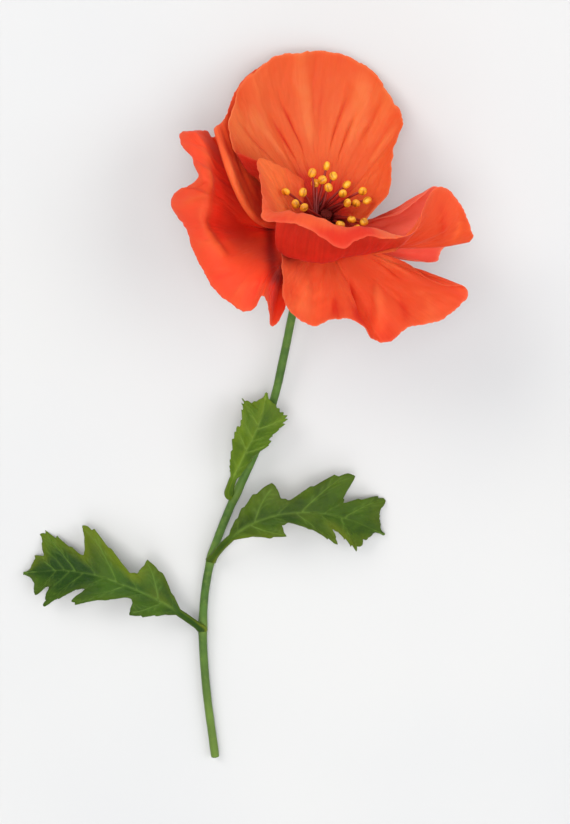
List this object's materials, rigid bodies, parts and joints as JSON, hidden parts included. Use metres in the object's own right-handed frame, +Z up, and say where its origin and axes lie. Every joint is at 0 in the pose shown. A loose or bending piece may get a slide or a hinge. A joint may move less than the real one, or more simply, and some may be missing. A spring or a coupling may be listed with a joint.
{
  "type": "oriental poppy flower",
  "caption": "One open orange-red poppy bloom as picked, with stamens, a bent stem and lobed leaves, lying on a surface.",
  "frame": {"origin": "middle of the bounding box's bottom face, on the surface that the flower lies on", "axes": "+Y along the stem from its cut foot to the bloom, +Z up from the surface, +X to the right seen from above with the bloom at the top"},
  "size_m": [0.1644, 0.2736, 0.0761],
  "materials": {
    "petal": "soft matte petal, orange-red with deeper red folds",
    "stamen": "yellow pollen sacs on dark red stalks",
    "ovary": "matte green-yellow seed capsule with a rayed cap",
    "receptacle": "matte green",
    "stem": "smooth matte green",
    "leaf": "satin deep green with paler veins"
  },
  "bodies": {
    "root": {"petal_back": "petal", "petal_front": "petal", "petal_lower": "petal", "petal_left": "petal", "petal_back_left": "petal", "petal_right": "petal", "stamen_01": "stamen", "stamen_02": "stamen", "stamen_03": "stamen", "stamen_04": "stamen", "stamen_05": "stamen", "stamen_06": "stamen", "stamen_07": "stamen", "stamen_08": "stamen", "stamen_09": "stamen", "stamen_10": "stamen", "stamen_11": "stamen", "stamen_12": "stamen", "stamen_13": "stamen", "stamen_14": "stamen", "stamen_15": "stamen", "stamen_16": "stamen", "stamen_17": "stamen", "stamen_18": "stamen", "stamen_19": "stamen", "stamen_20": "stamen", "stamen_21": "stamen", "stamen_22": "stamen", "stamen_23": "stamen", "stamen_24": "stamen", "ovary": "ovary", "receptacle": "receptacle", "stem": "stem", "leaf_upper": "leaf", "leaf_right": "leaf", "leaf_left": "leaf"}
  },
  "joints": []
}
